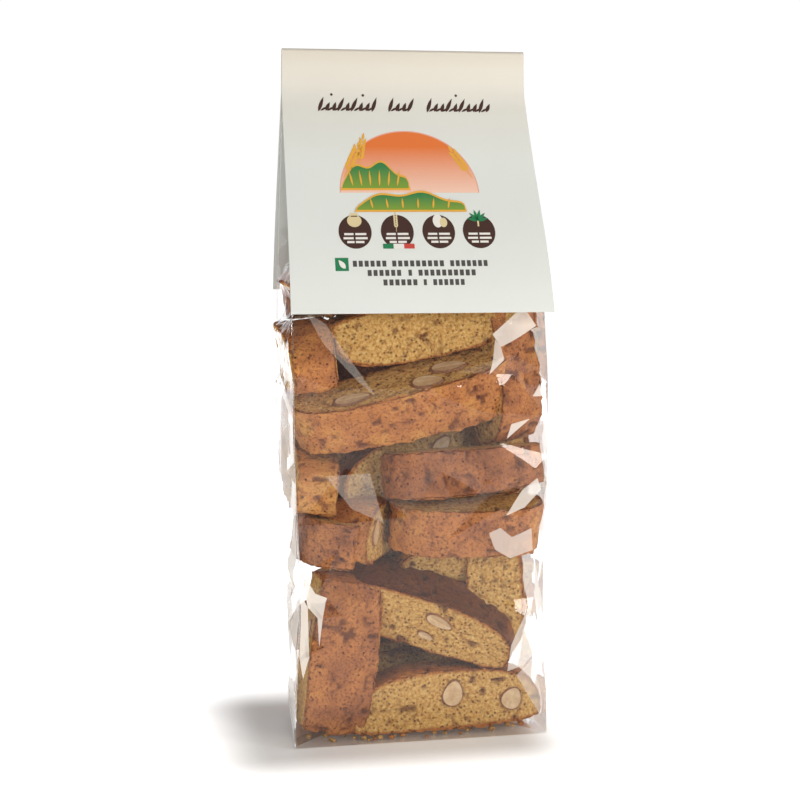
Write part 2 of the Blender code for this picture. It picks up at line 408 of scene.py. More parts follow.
SLICES = [
    # the front row, from the bottom up
    Biscotto("slice_low_right", (80, 20, 25), (14, -18, 13.8), (1, 0.03, 0.03), (0, 0.05, 1),
             fixed=1.0,
             almonds=[(-1, 2, 2.5, 11, 8.5, 75), (-1, 27, -2, 9.5, 8.5, 60), (1, -14, 1, 12, 7, 10)]),
    Biscotto("slice_low_left", (76, 27, 25), (-37.5, -17, 32), (0.16, 0.02, 1), (0.04, -1, -0.03),
             browning_and_shade=0.05, fixed=1.0, ends=(0.93, 0.91), belly=0.34, almonds=[(1, 8, 2, 11, 7, 30)]),
    # this slice's high browning is partly its own darker crust and partly painted shade on its upturned top
    Biscotto("slice_slanting", (82, 21, 25), (1, -13, 43.5), (1, -0.16, -0.37), (0.31, -0.42, 0.84),
             browning_and_shade=0.4, fixed=1.0, almonds=[(-1, 7, 3.5, 12, 5, -12), (-1, 4, -5, 7, 3, -10)]),
    Biscotto("slice_behind_slant", (60, 18, 24), (16, -3, 68), (0.9, 0.05, -0.4), (0.35, -0.2, 0.9),
             fixed=0.6, almonds=[(-1, 4, 2, 11, 7, 80)]),
    Biscotto("slice_right_upright", (62, 18, 24), (44, -9, 56), (-0.05, 0.05, 1), (1, -0.2, 0.05),
             fixed=0.95, almonds=[(-1, 12, -2, 11, 6, 50), (-1, -8, 1, 8, 5, 10)]),
    Biscotto("slice_right_low_band", (64, 20, 25), (23, -16.5, 87.5), (1, 0, -0.05), (-0.04, -1, -0.12),
             fixed=1.0),
    Biscotto("slice_left_tip", (56, 20, 24), (-16, -6, 86), (0.5, 0.85, 0), (0, -0.12, 1),
             fixed=0.9, almonds=[(-1, -17, 1, 11, 6.5, 80)]),
    Biscotto("slice_left_under_tip", (54, 19, 25), (-44, -4, 77), (0.0, 1, 0), (-1, 0, 0.15),
             browning_and_shade=0.1, fixed=0.7),
    Biscotto("slice_right_mid_band", (66, 18, 24), (28, -15, 107), (1, 0.03, 0.06), (0.03, -1, 0.12),
             browning_and_shade=0.13, fixed=1.0),
    Biscotto("slice_under_slab", (76, 18, 25), (2, 1, 110), (1, 0.25, 0.42), (-0.42, -0.05, 1),
             browning_and_shade=0.05, fixed=1.0, almonds=[(-1, 10, 0, 10, 6, 20)]),
    Biscotto("slice_left_mid", (54, 16, 25), (-49, -4, 103), (0.0, 1, 0.04), (0.12, 0, 1),
             browning_and_shade=-0.1, fixed=0.8),
    Biscotto("slab_across", (92, 22, 25), (-6.5, -16, 134), (1, 0.01, 0.21), (0.08, -0.92, -0.38),
             browning_and_shade=-0.05, fixed=1.0,
             almonds=[(1, -22, 4, 15, 7, 5), (1, 9, 6, 13, 8, 15), (1, 20, -1, 15, 7, 8)]),
    Biscotto("slice_right_high", (64, 20, 25), (45, -3, 150), (-0.14, 0.06, 1), (0.4, -0.92, 0.03),
             browning_and_shade=0.05, fixed=0.7),
    Biscotto("slice_right_behind", (52, 18, 24), (44, 12, 128), (0.1, 0.5, 1), (1, 0.2, -0.1),
             fixed=0.4),
    Biscotto("slice_left_high_low", (56, 19, 26), (-50, -3, 148), (-0.03, 1, 0.06), (-0.14, 0, 1),
             browning_and_shade=0.04, fixed=0.8),
    Biscotto("slice_top_front", (80, 19, 25), (4, -12, 169), (1, 0.02, 0.2), (0.2, 0.05, -1),
             fixed=1.0, almonds=[(-1, -10, 5.5, 8, 5.5, 0), (-1, 1, -2, 7, 4, 30)]),
    Biscotto("slice_left_high_top", (50, 19, 24), (-46, -3, 171), (-0.03, 1, 0.05), (-0.75, 0.02, 0.6),
             browning_and_shade=0.08, fixed=0.5),
    Biscotto("slice_right_high_top", (50, 19, 24), (43, 1, 171), (-0.1, 1, 0), (1, 0.1, 0.25),
             fixed=0.5),
    # behind them, against the back of the bag
    Biscotto("back_left_piece", (38, 16, 23), (-34, 17, 96), (1, 0.1, 0.2), (-0.2, 0, 1),
             browning_and_shade=0.2),
    Biscotto("inside_left_piece", (46, 17, 23), (-12, 4, 70), (1, 0.2, -0.15), (0.1, -0.6, 1),
             browning_and_shade=0.3),
    Biscotto("inside_right_piece", (42, 16, 22), (38, 3, 29), (0.3, 1, 0.1), (0, 0, 1),
             browning_and_shade=0.2),
    Biscotto("back_right_mid", (66, 19, 25), (46, 8, 104), (0.04, 0.12, 1), (1, 0.1, 0),
             browning_and_shade=0.05, fixed=0.5),
    Biscotto("back_left_top", (64, 18, 24), (-24, 12, 180), (1, 0.1, 0.12), (0, -1, 0.2),
             browning_and_shade=0.25),
    Biscotto("back_left_mid", (60, 17, 24), (-40, 16, 116), (0.03, -0.1, 1), (-1, 0.2, 0),
             fixed=0.3),
    Biscotto("back_floor", (84, 20, 26), (0, 14, 14), (1, -0.03, 0.02), (0, 0.05, 1),
             almonds=[(1, -12, 1, 12, 7, 20), (1, 22, -2, 10, 6, 60)]),
    Biscotto("back_left_low", (70, 19, 24), (-20, 15, 37), (1, 0.1, 0.12), (-0.1, 0.4, 0.9),
             browning_and_shade=0.08, almonds=[(1, 4, 1, 11, 7, 40)]),
    Biscotto("back_right_low", (64, 20, 25), (30, 16, 42), (0.3, 0.1, 1), (0.1, 1, 0)),
    Biscotto("back_slab_low", (86, 20, 24), (-4, 17, 64), (1, 0, -0.1), (0.05, 0.95, 0.2),
             browning_and_shade=0.05),
    Biscotto("back_middle", (78, 19, 25), (6, 18, 86), (1, 0.02, 0.12), (-0.1, 0.2, 1),
             almonds=[(1, -18, 2, 12, 7, 15), (1, 8, -1, 10, 6, 70)]),
    Biscotto("back_slab_high", (84, 20, 24), (2, 21, 112), (1, -0.05, -0.14), (0, 1, -0.2),
             browning_and_shade=-0.05),
    Biscotto("back_high", (84, 21, 26), (-2, 16, 139), (1, 0.04, 0.06), (-0.02, -1, 0.15),
             browning_and_shade=0.25, almonds=[(1, 14, 1, 12, 7, -20), (1, -20, -2, 9, 6, 30)]),
    Biscotto("back_top", (82, 20, 26), (2, 14, 161), (1, 0.02, -0.05), (0.02, -1, 0.1),
             browning_and_shade=0.3),
    Biscotto("inside_low", (60, 18, 24), (0, 2, 24), (1, 0.2, 0.2), (-0.2, 0.1, 1),
             browning_and_shade=0.08),
    Biscotto("back_top_right", (50, 18, 23), (22, 8, 183), (1, 0.4, 0.3), (-0.2, 0.1, 1)),
    Biscotto("top_across", (76, 18, 24), (-2, 3, 193), (1, 0.1, -0.06), (0.05, -0.2, 1),
             almonds=[(-1, 6, 1, 11, 7, 20)]),
]

# ---- settling the slices: those that overlap are moved apart, and everything is kept inside the film


def skin_points(slice_):
    """Points over a slice's crust and cut faces, in its own frame."""
    outline = profile(slice_.length, slice_.height, np.arange(28) / 28)
    inner = profile(slice_.length, slice_.height, np.arange(12) / 12) * 0.55
    half = slice_.thickness / 2
    rows = [(x, y, z) for y in (-half, 0, half) for x, z in outline]
    return np.array(rows + [(x, y, z) for y in (-half, half) for x, z in inner])


def deepest(points, slice_):
    """How far the deepest of some points is inside a slice, and the shortest way out for it."""
    local = (points - slice_.centre) @ slice_.turn
    low = WIDEST_AT * slice_.height
    half_length, half = slice_.length / 2, slice_.thickness / 2
    rise = local[:, 2] + slice_.height / 2 - low
    over = np.where(rise >= 0, rise / (slice_.height - low), -rise / low)
    # the powers undo those in profile(): 2 / 0.78 for the dome, 4 / 0.78 for the bottom, 2 / 0.72 across
    power = np.where(rise >= 0, 2.56, 5.13)
    reach = np.where(rise >= 0, slice_.height - low, low)
    share = np.abs(local[:, 0]) / half_length
    level = share**2.78 + over**power
    slope_x = 2.78 * share**1.78 / half_length * np.sign(local[:, 0])
    slope_z = power * over ** (power - 1) / reach * np.sign(rise)
    steep = np.hypot(slope_x, slope_z) + 1e-3
    from_crust = (1 - level) / steep
    from_cut = half - np.abs(local[:, 1])
    depth = np.minimum(np.minimum(from_crust, from_cut), slice_.height / 2)
    at = int(np.argmax(depth))
    if depth[at] <= 0:
        return 0.0, None
    if from_cut[at] < from_crust[at]:
        way = np.array([0, np.sign(local[at, 1]), 0])
    else:
        way = np.array([slope_x[at], 0, slope_z[at]]) / steep[at]
    return depth[at], slice_.turn @ way


def corners_of(slice_):
    """Points on the rim of a slice, to test against the film."""
    flat = profile(slice_.length, slice_.height, np.arange(12) / 12)
    low, high = (slice_.length / 2 * (2 * end - 1) for end in slice_.ends)
    flat[:, 0] = np.clip(flat[:, 0], -low, high)
    rim = [(x, side * slice_.thickness / 2, z) for side in (-1, 1) for x, z in flat]
    return np.array(rim) @ slice_.turn.T + slice_.centre


LEFT_SWELL = 5.0  # how far the biscotti near the top push the left gusset out
FILM_ROOM = 0.9  # kept free between a slice's rim and the film


def keep_inside(slice_):
    """Moves a slice back inside the film where its rim passes it."""
    rim = corners_of(slice_)
    z = rim[:, 2]
    bulge = 0.7 * fullness(z)
    front = lean(z) - half_depth(z) - PANEL_CROWN * bulge + FILM_ROOM
    back = lean(z) + half_depth(z) + PANEL_CROWN * bulge - FILM_ROOM
    side = np.where(rim[:, 1] > 0, half_width(z, 1), half_width(z, -1)) - FILM_ROOM
    move = np.zeros(3)
    move[2] += max(0, 1.3 - z.min())
    move[1] += max(0, (front - rim[:, 1]).max()) - max(0, (rim[:, 1] - back).max())
    swell = LEFT_SWELL * np.exp(-(((z - 150) / 30) ** 2))
    past_left = (-side - LEFT_CROWN * bulge - swell - rim[:, 0]).max()
    past_right = (rim[:, 0] - side - RIGHT_CROWN * bulge).max()
    move[0] += max(0, past_left) - max(0, past_right)
    slice_.centre = slice_.centre + move


def settle(slices, rounds=80):
    """Eases the slices apart, which lessens their overlaps but doesn't end them, because the film holds
    them in. The more a slice is fixed, the less it gives way and the more it is drawn back to where it was
    laid, except in the last rounds."""
    homes = [slice_.centre.copy() for slice_ in slices]
    skins = [skin_points(slice_) for slice_ in slices]
    for turn in range(rounds):
        for at, first in enumerate(slices):
            for other, second in enumerate(slices):
                near = (first.length + second.length) / 2 + 5
                if at == other or np.linalg.norm(first.centre - second.centre) > near:
                    continue
                depth, way = deepest(skins[at] @ first.turn.T + first.centre, second)
                if depth <= 0:
                    continue
                free = np.array([1.1 - first.fixed, 1.1 - second.fixed])
                free = free / free.sum() * min(depth, 2.0) * 0.5
                first.centre = first.centre + way * free[0]
                second.centre = second.centre - way * free[1]
        for slice_, home in zip(slices, homes):
            if turn < rounds - 20:
                slice_.centre = slice_.centre + (home - slice_.centre) * 0.12 * slice_.fixed
            keep_inside(slice_)


def inside_outline(points, outline):
    """Which of the flat points lie inside a closed outline."""
    after = np.roll(outline, -1, axis=0)
    px, py = points[:, None, 0], points[:, None, 1]
    crosses = (outline[None, :, 1] > py) != (after[None, :, 1] > py)
    run = np.where(after[:, 1] == outline[:, 1], 1e-9, after[:, 1] - outline[:, 1])
    x_there = outline[None, :, 0] + (py - outline[None, :, 1]) / run * (after[:, 0] - outline[:, 0])
    return (crosses & (px < x_there)).sum(1) % 2 == 1


def even_outline(length, height, ends, step, seed):
    """The loaf's outline as evenly spaced points, a little uneven, and cut straight across where ends are
    under 1."""
    rough = profile(length, height, np.linspace(0, 1, 721))
    wave = noise(np.c_[rough, np.zeros(len(rough))], 16, seed)[:, None]
    wave[-1] = wave[0]
    rough = rough * (1 + 0.035 * wave)
    low, high = (length / 2 * (2 * end - 1) for end in ends)
    rough[:, 0] = np.clip(rough[:, 0], -low - 0.6 * wave[:, 0], high + 0.6 * wave[:, 0])
    run = np.concatenate([[0], np.cumsum(np.linalg.norm(np.diff(rough, axis=0), axis=1))])
    count = int(run[-1] / step)
    at = np.linspace(0, run[-1], count, endpoint=False)
    return np.stack([np.interp(at, run, rough[:, 0]), np.interp(at, run, rough[:, 1])], -1)


ALMOND_POINTS = 40


def almond_outline(length, width, turns):
    """A cut almond: an oval with one end pointed."""
    angle = 2 * np.pi * turns
    narrow = 1 - 0.22 * np.cos(angle)
    return np.stack([np.cos(angle) * length / 2, np.sin(angle) * width / 2 * narrow], -1)


def almond_shape(flat, almond):
    """How far out each point of a cut face is from an almond's middle: 1 on the almond's outline."""
    _, x, z, length, width, tilt = almond
    spin = math.radians(tilt)
    along = (flat[:, 0] - x) * math.cos(spin) + (flat[:, 1] - z) * math.sin(spin)
    over = -(flat[:, 0] - x) * math.sin(spin) + (flat[:, 1] - z) * math.cos(spin)
    narrow = 1 - 0.22 * along / (length / 2)
    return np.hypot(along / (length / 2), over / (width / 2 * narrow))


def make_biscotto(slice_, step):
    """Builds one slice: two cut faces, the crust around them, and the cut almonds set into the faces."""
    length, thickness, height, seed = slice_.length, slice_.thickness, slice_.height, slice_.seed
    outline = even_outline(length, height, slice_.ends, step, seed)
    rows = int(thickness / step)
    columns = np.arange(-length / 2, length / 2, step)
    lines = np.arange(-height, height, step * 0.87)
    grid = np.array([(x + (row % 2) * step / 2, z) for row, z in enumerate(lines) for x in columns])
    on_plane = np.c_[grid, np.zeros(len(grid))]
    grid += 0.18 * step * np.c_[noise(on_plane, 0.9, 5), noise(on_plane, 0.9, 6)]
    gap = np.sqrt(((grid[:, None] - outline[None]) ** 2).sum(-1)).min(1)
    grid, gap = (part[inside_outline(grid, outline) & (gap > 0.62 * step)] for part in (grid, gap))
    count, inner = len(outline), len(grid)
    edges = [(at, (at + 1) % count) for at in range(count)]
    joined = [Vector(place) for place in np.concatenate([outline, grid])]
    flat, _, triangles, *_ = delaunay_2d_cdt(joined, edges, [], 1, 1e-6)
    assert len(flat) == count + inner

    tangent = np.roll(outline, -1, axis=0) - np.roll(outline, 1, axis=0)
    rim_normal = np.stack([tangent[:, 1], -tangent[:, 0]], -1)
    rim_normal /= np.linalg.norm(rim_normal, axis=1)[:, None]
    if (rim_normal * outline).sum() < 0:
        rim_normal = -rim_normal
    points, normals, cut, edge, faces = [], [], [], [], []
    for side in (-1, 1):  # the two cut faces, each with its outline first
        both = np.concatenate([outline, grid])
        points.append(np.stack([both[:, 0], np.full(len(both), side * thickness / 2), both[:, 1]], -1))
        on_rim = np.stack([rim_normal[:, 0], np.full(count, side * 1.0), rim_normal[:, 1]], -1) * 0.7
        normals.append(np.concatenate([on_rim, np.tile([0, side, 0], (inner, 1))]))
        cut.append(np.concatenate([np.full(count, 0.25), np.ones(inner)]))
        edge.append(np.concatenate([np.zeros(count), gap]))
        base = 0 if side < 0 else count + inner
        flip = 1 if side < 0 else -1
        faces += [[base + at for at in triangle[::flip]] for triangle in triangles]
    start = 2 * (count + inner)
    for row in range(1, rows):
        y = -thickness / 2 + thickness * row / rows
        points.append(np.stack([outline[:, 0], np.full(count, y), outline[:, 1]], -1))
        normals.append(np.stack([rim_normal[:, 0], np.zeros(count), rim_normal[:, 1]], -1))
        cut.append(np.zeros(count))
        edge.append(np.zeros(count))

    def rim_row(row):
        if row == 0:
            return 0
        return count + inner if row == rows else start + (row - 1) * count

    for row in range(rows):
        low, high = rim_row(row), rim_row(row + 1)
        faces += [[low + a, low + b, high + b, high + a] for a, b in edges]
    points, normals, cut, edge = (np.concatenate(part) for part in (points, normals, cut, edge))

    # the baked surface: lumps all over, cracks and pinholes in the crust, pores and hollows in the crumb
    place = points + seed
    rough = smoothstep(-0.35, 0.3, noise(place, 13, seed + 11))
    crust = 1.15 * noise(place, 11, seed) + 0.30 * noise(place, 3.6, seed + 1)
    crust += rough * (0.26 * noise(place, 2.3, seed + 12) + 0.22 * noise(place, 1.3, seed + 2))
    pock = rough * np.clip((noise(place, 2.4, seed + 13) - 0.32) * 3.5, 0, 1)
    ridge = np.abs(noise(place, 8, seed + 3) + 0.35 * noise(place, 2.6, seed + 4))
    crack = np.clip(1 - ridge / 0.07, 0, 1) * (noise(place, 18, seed + 5) > 0.0)
    crumb = (0.35 * noise(place, 13, seed) + 0.26 * noise(place, 2.4, seed + 6)
             + 0.2 * noise(place, 1.3, seed + 7))
    pore = np.clip((noise(place, 1.7, seed + 8) - 0.42) * 3, 0, 1)
    hollow = np.clip((noise(place, 4.2, seed + 9) - 0.62) * 5, 0, 1)
    face = cut > 0.5
    move = np.where(face, crumb - 0.75 * pore - 1.3 * hollow, crust - 0.9 * crack - 0.9 * pock)
    move = np.where((cut > 0) & ~face, crust - 0.5 + 0.95 * noise(place, 1.9, seed + 10), move)
    # painted shade for the material: how dark each pushed-in crack, pock, pore and hollow is made
    pit_shade = np.where(face, np.clip(0.55 * pore + 0.8 * hollow, 0, 1), np.clip(0.75 * crack + 0.8 * pock, 0, 1))
    for almond in slice_.almonds:
        near = almond_shape(points[:, [0, 2]], almond)
        on_face = face & (np.sign(points[:, 1]) == almond[0])
        # each almond sits in a pushed-in groove that is darkened with painted shade
        move = np.where(on_face & (near < 1.12), -0.7, move)
        pit_shade = np.where(on_face & (near < 1.12), 0.55, pit_shade)
    points = points + normals * move[:, None]
    points[:, 1] *= slice_.unevenness(points[:, 0])
    points[:, 1] += 0.7 * np.cos(points[:, 0] / length * 3 + seed)

    browning_and_shade = slice_.browning_and_shade + 0.06 * np.where(points[:, 2] > height * 0.25, 1, 0) - 0.05 * (cut > 0)
    parts = [points]
    slots = np.zeros(len(faces), int).tolist()
    total = len(points)
    for almond in slice_.almonds:
        side, x, z, size, width, tilt = almond
        spin = math.radians(tilt)
        shape = almond_outline(size, width, np.arange(ALMOND_POINTS) / ALMOND_POINTS)
        # each ring's scale, how far it stands out of the cut face, and its material
        levels = ((1.04, -0.7, 2), (1.0, 0.12, 2), (0.93, 0.2, 2), (0.90, 0.08, 1), (0.6, 0.2, 1),
                  (0.3, 0.24, 1), (0.02, 0.24, 1))
        for ring, (scale, lift, _) in enumerate(levels):
            out = shape * scale
            split = 0.35 * np.exp(-((out[:, 1] / 0.35) ** 2)) * (np.abs(out[:, 0]) < size * 0.36)
            turned = np.stack([out[:, 0] * math.cos(spin) - out[:, 1] * math.sin(spin),
                               out[:, 0] * math.sin(spin) + out[:, 1] * math.cos(spin)], -1)
            flat_x, flat_z = turned[:, 0] + x, turned[:, 1] + z
            bend = 0.7 * np.cos(flat_x / length * 3 + seed)
            wedge = slice_.unevenness(flat_x)
            y = side * (thickness / 2 + lift - (split if ring > 3 else 0)) * wedge + bend
            parts.append(np.stack([flat_x, y, flat_z], -1))
            if ring:
                low, high = total + (ring - 1) * ALMOND_POINTS, total + ring * ALMOND_POINTS
                for a in range(ALMOND_POINTS):
                    b = (a + 1) % ALMOND_POINTS
                    quad = [low + a, low + b, high + b, high + a]
                    faces.append(quad if side < 0 else quad[::-1])
                    slots.append(levels[ring][2])
        total += len(levels) * ALMOND_POINTS
        middle = [total - ALMOND_POINTS + a for a in range(ALMOND_POINTS)]
        faces.append(middle if side < 0 else middle[::-1])
        slots.append(1)
    everything = np.concatenate(parts) @ slice_.turn.T + slice_.centre + SHIFT
    made = mesh_object(slice_.name, everything, faces, (BISCOTTO, ALMOND, SKIN))
    made.data.polygons.foreach_set("material_index", slots)
    extra = total - len(points)
    for name, values in (("cut", cut), ("edge", np.clip(edge / 6, 0, 1)), ("pit_shade", pit_shade),
                         ("browning_and_shade", browning_and_shade)):
        add_values(made, name, np.concatenate([values, np.zeros(extra)]))
    return made


settle(SLICES)
slices = [make_biscotto(slice_, 0.95 if slice_.fixed > 0.4 else 1.15) for slice_ in SLICES]

# ---------------------------------------------------------------- the clear film
#
# Each of the four panels is a net of flat facets between folds. The folds run between points that stand
# a little in or out of the smooth bag shape, so each facet has its own tilt and mirrors the soft boxes as
# a hard-edged patch.

FILM_STEP = 2.6
FILM_TOP = FIN_START + 10
FLAT_FROM, FLAT_ABOVE = 200, 240  # the net of facets flattens out between these heights, behind the card
FILM_CLEARANCE = 0.35  # between a biscotto and the film it pushes out
RAY_START = 25  # how far outside the bag's shape the rays at its contents and its film start


def fold_points(panel, half, spacing, lift, seed):
    """Places on a flat panel where folds meet, and how far each stands out: jittered rows between two
    creases."""
    rows = int(FILM_TOP / spacing)
    found = []
    for row in range(rows + 1):
        z = FILM_TOP * row / rows
        across = int(2 * half / spacing)
        for column in range(across + 1):
            s = -half + 2 * half * column / across
            cell = np.array([[row, column, len(panel)]])
            jitter = np.array([hashed(cell, seed)[0], hashed(cell, seed + 1)[0]]) * 0.36 * spacing
            rise = hashed(cell, seed + 2)[0] * lift
            on_edge = column in (0, across)
            s_there = s if on_edge else s + jitter[0]
            z_there = z if row in (0, rows) else z + jitter[1]
            share = 0.35 if on_edge else 0.5 + 1.2 * (s / half) ** 2
            rise *= (1 - smoothstep(FLAT_FROM, FLAT_ABOVE, z)) * share
            found.append((s_there, z_there, rise if 0 < row < rows else 0.0))
    return found


def film_panel(panel, half, spacing, lift, seed, extra=()):
    """One panel as points on the bag's shape and triangles whose edges follow the folds."""
    joints = np.array(fold_points(panel, half, spacing, lift, seed) + list(extra))
    _, folds, nets, *_ = delaunay_2d_cdt([Vector(joint[:2]) for joint in joints], [], [], 0, 1e-5)
    corners = np.array([net[:3] for net in nets])
    columns = max(2, round(2 * half / FILM_STEP))
    rows = round(FILM_TOP / FILM_STEP)
    fill = np.array([(-half + 2 * half * (column + 0.5 * (row % 2)) / columns, FILM_TOP * row / rows)
                     for row in range(1, rows) for column in range(1, columns)])
    fill = fill[np.abs(fill[:, 0]) < half - 0.4 * FILM_STEP]
    start, run = joints[folds][:, 0, :2], joints[folds][:, 1, :2] - joints[folds][:, 0, :2]
    along = np.clip(((fill[:, None] - start) * run).sum(-1) / (run**2).sum(-1), 0, 1)
    gap = np.linalg.norm(fill[:, None] - start - along[..., None] * run, axis=-1).min(1)
    fill = fill[gap > 0.42 * FILM_STEP]
    on_folds = [first + (second - first) * part / parts
                for first, second in ((joints[a, :2], joints[b, :2]) for a, b in folds)
                for parts in (max(1, round(np.linalg.norm(second - first) / FILM_STEP)),)
                for part in range(1, parts)]
    flat = np.concatenate([joints[:, :2], np.array(on_folds), fill])
    held = [tuple(fold) for fold in folds]
    flat, _, faces, *_ = delaunay_2d_cdt([Vector(p) for p in flat], held, [], 0, 1e-5)
    flat = np.array([tuple(p) for p in flat])

    # each point stands out as much as the facet that it lies on
    rise = np.zeros(len(flat))
    a, b, c = (joints[corners[:, at]] for at in range(3))
    for first, second, third in zip(a, b, c):
        to_second, to_third = second[:2] - first[:2], third[:2] - first[:2]
        area = to_second[0] * to_third[1] - to_second[1] * to_third[0]
        if abs(area) < 1e-9:
            continue
        away = flat - first[:2]
        u = (away[:, 0] * to_third[1] - away[:, 1] * to_third[0]) / area
        v = (away[:, 1] * to_second[0] - away[:, 0] * to_second[1]) / area
        here = (u > -1e-4) & (v > -1e-4) & (u + v < 1 + 1e-4)
        rise[here] = first[2] + u[here] * (second[2] - first[2]) + v[here] * (third[2] - first[2])
    points = panel_points(panel, flat[:, 0] / half, flat[:, 1])
    points += rise[:, None] * np.array(OUTWARD[panel])
    return points, [tuple(face) for face in faces], flat


def contents_tree():
    """Everything in the bag as one tree to cast rays at."""
    points, faces = [], []
    for piece in slices:
        start = len(points)
        points += [vertex.co for vertex in piece.data.vertices]
        faces += [[start + at for at in polygon.vertices] for polygon in piece.data.polygons]
    return BVHTree.FromPolygons(points, faces)


def push_out(points, faces, outward, tree):
    """Moves the film out wherever a biscotto would poke through it, and tents it around that place."""
    outward = np.array(outward, float)
    need = np.zeros(len(points))
    for at, point in enumerate(points):
        origin = (point + SHIFT + outward * RAY_START) * MM
        hit = tree.ray_cast(Vector(origin), Vector(-outward), 60 * MM)[0]
        if hit is not None:
            need[at] = max(0.0, (np.array(hit) / MM - SHIFT - point) @ outward + FILM_CLEARANCE)
    pairs = np.array([(face[a], face[a - 1]) for face in faces for a in range(3)])
    count = np.bincount(pairs.ravel(), minlength=len(points)).clip(1)
    push = need.copy()
    for _ in range(14):
        total = np.bincount(pairs[:, 0], push[pairs[:, 1]], len(points))
        total += np.bincount(pairs[:, 1], push[pairs[:, 0]], len(points))
        push = np.maximum(need, 0.96 * total / count)
    return points + push[:, None] * outward


# Where the film is crumpled between the biscotti: across and up a panel, and how far the fold stands out
FRONT_CRUMPLES = [(-47, 74, -1.2), (-44, 66, 1.6), (-48, 60, -1.6), (-43.5, 54, 1.4), (-47.5, 47, -1.2),
                  (-42, 42, 1.2), (-50, 68, 1.0), (-39.5, 60, -0.8), (-49.5, 38, 1.0),
                  (50, 172, -0.6), (37, 158, 1.8), (46, 176, -1.6), (41, 150, 0.6), (50, 152, 1.4),
                  (47, 112, 1.6), (39, 104, -0.8), (50, 100, 1.2), (42, 92, 1.4), (48, 86, -1.0),
                  (33, 96, 0.6),
                  (46, 50, 1.6), (38, 33, 0.4), (50, 34, -1.2), (49, 58, -0.8),
                  (-38, 172, 0.4), (-42, 158, 0.9), (-20, 134, -0.7)]
LEFT_CRUMPLES = [(18, 70, 2.0), (10, 62, -1.8), (20, 56, -1.0), (14, 48, 2.0), (22, 42, 1.0),
                 (6, 76, 1.2), (2, 52, 1.0), (-12, 64, 1.6), (-16, 46, -1.2), (12, 96, -1.2), (20, 112, 1.0)]


def crease_beads():
    """The heat-set creases: thin rounded ridges that catch the light along the bag's corners."""
    turns, radius = 6, 0.32
    z = np.arange(0.4, FILM_TOP, 3.0)
    points, faces = [], []
    for panel, across in (("front", -1), ("front", 1), ("back", -1), ("back", 1)):
        line = panel_points(panel, np.full(len(z), float(across)), z)
        start = len(points)
        for place in line:
            for turn in range(turns):
                angle = 2 * math.pi * turn / turns
                points.append(place + (radius * math.cos(angle), radius * math.sin(angle), 0))
        for row in range(len(z) - 1):
            for turn in range(turns):
                low, high = start + row * turns, start + (row + 1) * turns
                after = (turn + 1) % turns
                faces.append([low + turn, low + after, high + after, high + turn])
    return points, faces


def base_film():
    """The flat base: the film's folded block bottom, with its flaps."""
    corners = [panel_points(panel, np.array([across]), np.array([0.3]))[0]
               for panel, across in (("front", -1.0), ("front", 1.0), ("back", -1.0), ("back", 1.0))]
    front_left, front_right, back_right, back_left = corners
    points, faces = list(corners), [(0, 1, 2, 3)]
    reach = GUSSET_HALF * 0.92
    for first, second, inward in ((front_left, back_left, 1), (back_right, front_right, -1)):
        start = len(points)
        peak = (first + second) / 2 + (inward * reach, 0, 0.5)
        points += [first + (0, 0, 0.5), second + (0, 0, 0.5), peak]
        faces.append((start, start + 1, start + 2))
    return points, faces


def make_film():
    """The four panels, the beads along their creases, and the flat base with its folded-in corners."""
    tree = contents_tree()
    points, faces = [], []
    for panel, half, spacing, lift, seed, extra in (
        ("front", PANEL_HALF, 19, 1.5, 4, FRONT_CRUMPLES), ("right", GUSSET_HALF, 15, 1.6, 9, ()),
        ("back", PANEL_HALF, 19, 1.5, 14, ()), ("left", GUSSET_HALF, 13, 1.5, 21, LEFT_CRUMPLES)):
        where, triangles, _ = film_panel(panel, half, spacing, lift, seed, extra)
        where = push_out(where, triangles, OUTWARD[panel], tree)
        start = sum(len(part) for part in points)
        points.append(where)
        faces += [[start + at for at in face] for face in triangles]
    for part, part_faces in (crease_beads(), base_film()):
        start = sum(len(done) for done in points)
        points.append(np.array(part))
        faces += [[start + at for at in face] for face in part_faces]
    film = mesh_object("film_bag", np.concatenate(points) + SHIFT, faces, (FILM,))
    film.data.set_sharp_from_angle(angle=math.radians(3.2))
    return film


